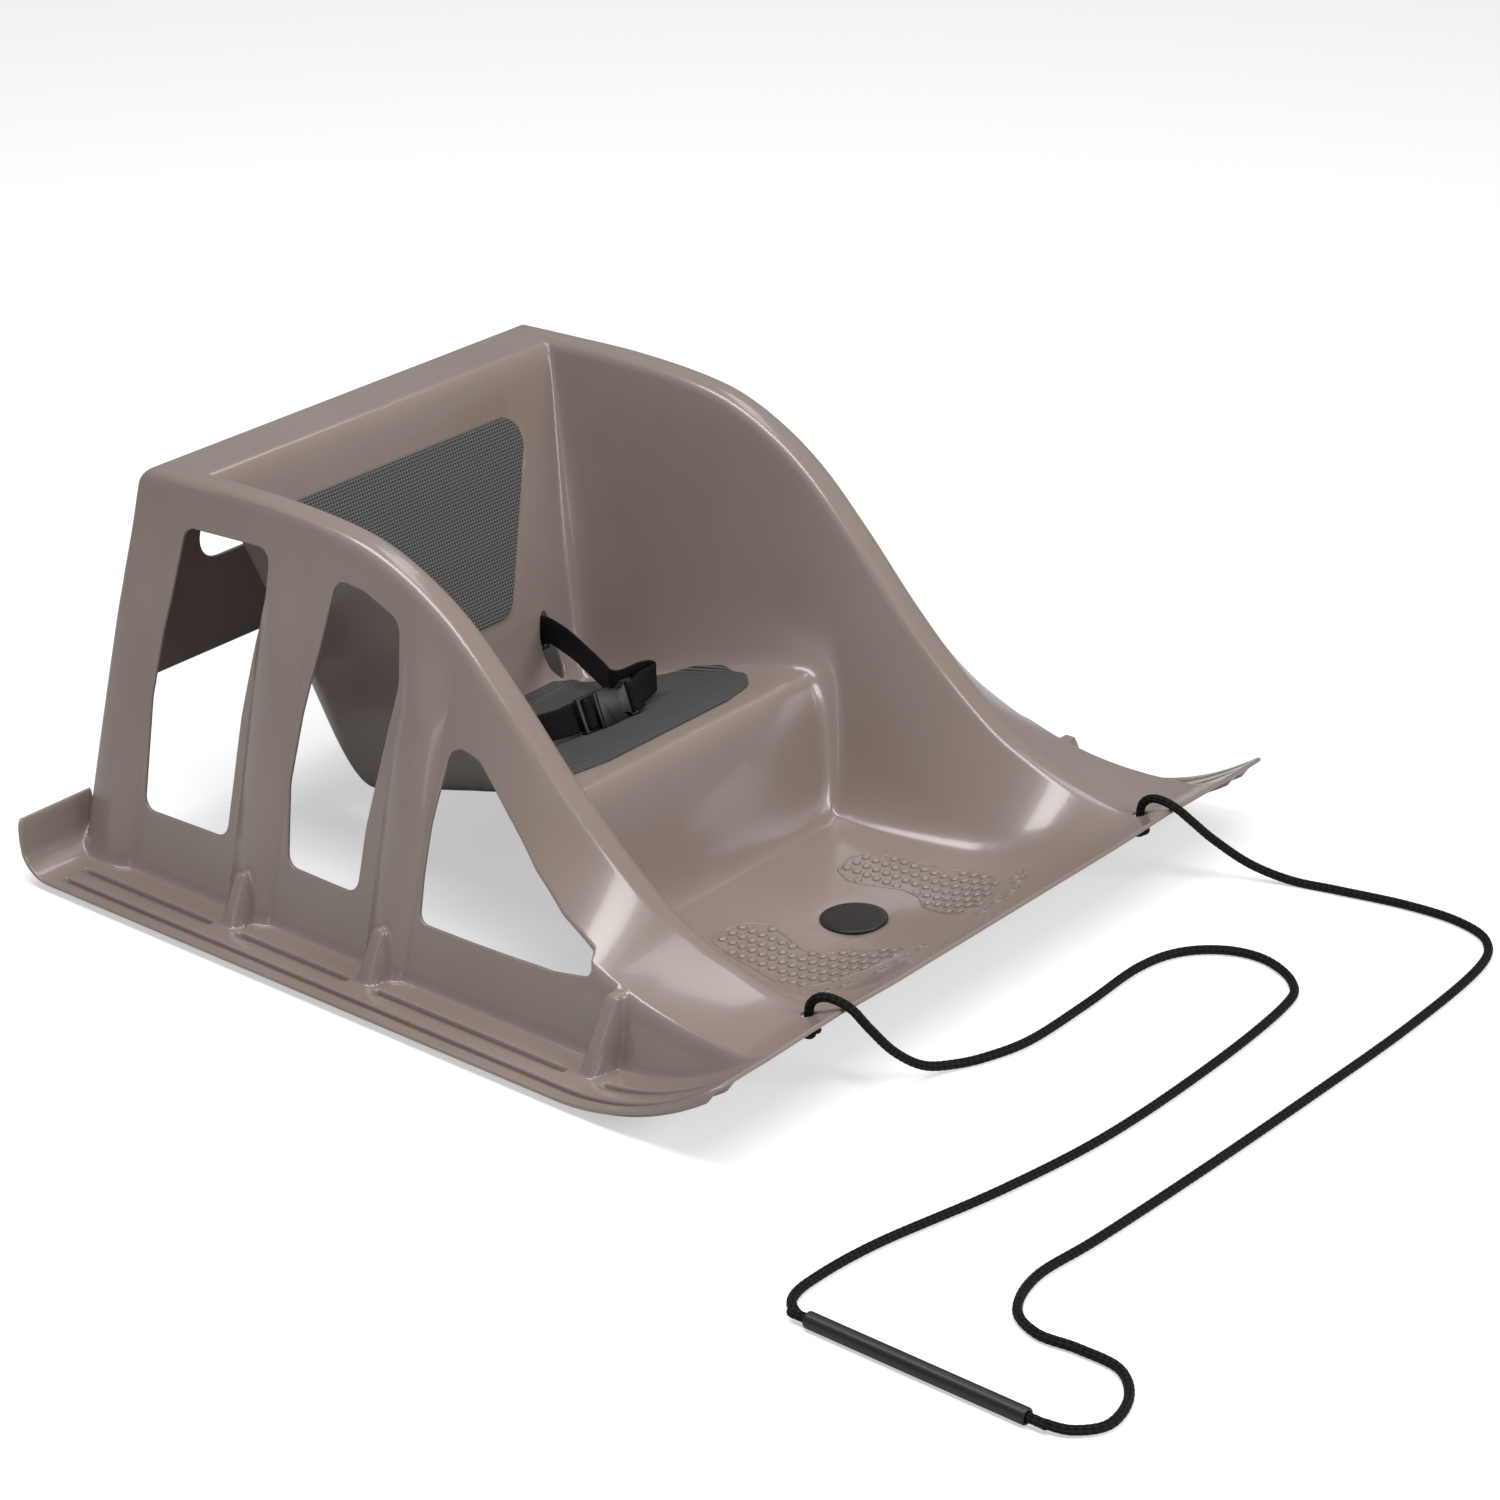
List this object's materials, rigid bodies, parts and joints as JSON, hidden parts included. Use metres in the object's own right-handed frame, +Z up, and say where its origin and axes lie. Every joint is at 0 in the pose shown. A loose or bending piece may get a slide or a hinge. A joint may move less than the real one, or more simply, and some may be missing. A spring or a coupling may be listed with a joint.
{
  "type": "baby pull sled",
  "caption": "Moulded tub-seat sled for a small child, with a flanged base, windows in its walls, mats, a belt with a side-release buckle and a pull rope with a tube handle.",
  "frame": {"origin": "centre of the sled's outline, on the ground under it, with the rope left out", "axes": "+Z up, -Y towards the nose and the rope, +X towards the left hand of a child who sits in it"},
  "size_m": [0.673, 0.9127, 0.2671],
  "materials": {
    "shell": "glossy taupe moulding",
    "mat": "matt, woven texture",
    "webbing": "woven band",
    "buckle": "satin black moulding",
    "badge": "smooth black disc",
    "rope": "braided cord",
    "handle": "smooth black tube"
  },
  "bodies": {
    "sled": {"body_shell": "shell", "back_pad": "mat", "seat_pad": "mat", "badge_disc": "badge", "strap_left": "webbing", "strap_right": "webbing", "buckle_socket": "buckle", "strap_stop_left": "buckle", "strap_stop_right": "buckle", "pull_rope": "rope", "rope_knot_left": "rope", "rope_knot_right": "rope"},
    "plug": {"buckle_plug": "buckle"},
    "arm_upper": {"buckle_arm_upper": "buckle"},
    "arm_lower": {"buckle_arm_lower": "buckle"},
    "handle": {"pull_handle": "handle"}
  },
  "joints": [
    {"name": "plug_slide", "type": "slide", "parent": "sled", "child": "plug", "axis": [-0.9865, 0.1562, -0.0489], "range_m": [0, 0.024], "deforming": ["strap_right"]},
    {"name": "arm_upper_squeeze", "type": "hinge", "parent": "plug", "child": "arm_upper", "pos_m": [0.00003, 0.04463, 0.0991], "axis": [0.1631, 0.9129, -0.3742], "range_deg": [0, 5], "stiffness_Nm_per_rad": 0.02},
    {"name": "arm_lower_squeeze", "type": "hinge", "parent": "plug", "child": "arm_lower", "pos_m": [-0.00015, 0.0398, 0.08724], "axis": [0.1631, 0.9129, -0.3742], "range_deg": [-5, 0], "stiffness_Nm_per_rad": 0.02},
    {"name": "handle_spin", "type": "hinge", "parent": "sled", "child": "handle", "pos_m": [-0.378, -0.507, 0.005], "axis": [0, 1, 0], "continuous": true}
  ],
  "couplings": [
    {"joint": "arm_lower_squeeze", "follows": "arm_upper_squeeze", "ratio": -1}
  ]
}
